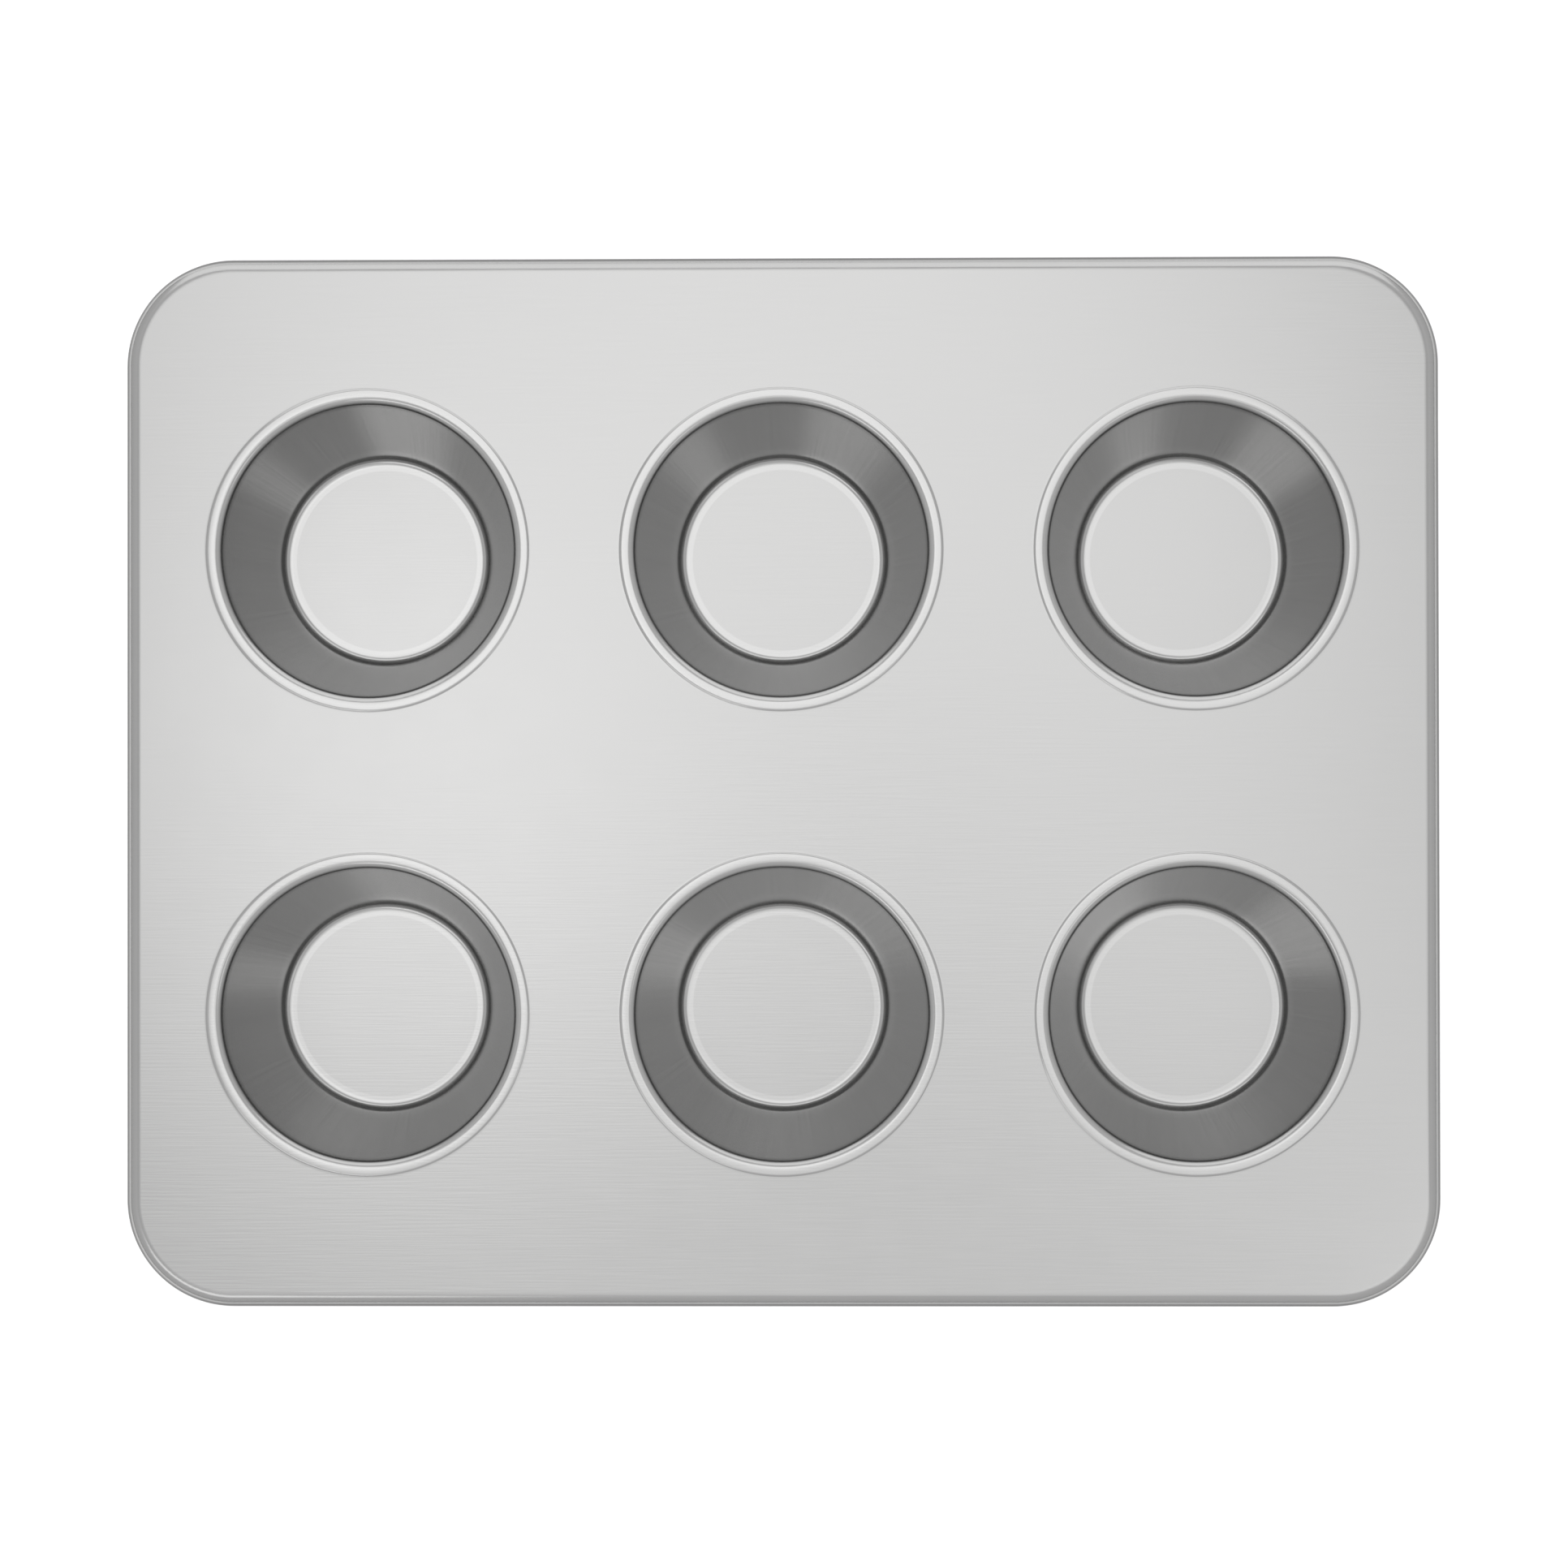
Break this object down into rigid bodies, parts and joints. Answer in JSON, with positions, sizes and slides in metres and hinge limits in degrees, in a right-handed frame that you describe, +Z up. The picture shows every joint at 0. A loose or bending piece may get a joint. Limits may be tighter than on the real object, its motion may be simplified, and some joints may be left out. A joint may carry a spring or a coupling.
{
  "type": "muffin pan",
  "caption": "Shallow rectangular baking tray of satin steel with tapered round cups, rounded lips that stand a fine step over the tray, and a rolled hollow rim.",
  "frame": {"origin": "on the standing plane, under the centre of the tray", "axes": "+X along the longer side, +Y along the shorter side, +Z up out of the cups"},
  "size_m": [0.305, 0.2436, 0.035],
  "materials": {
    "steel": "satin aluminised"
  },
  "bodies": {
    "root": {"pan": "steel"}
  },
  "joints": []
}
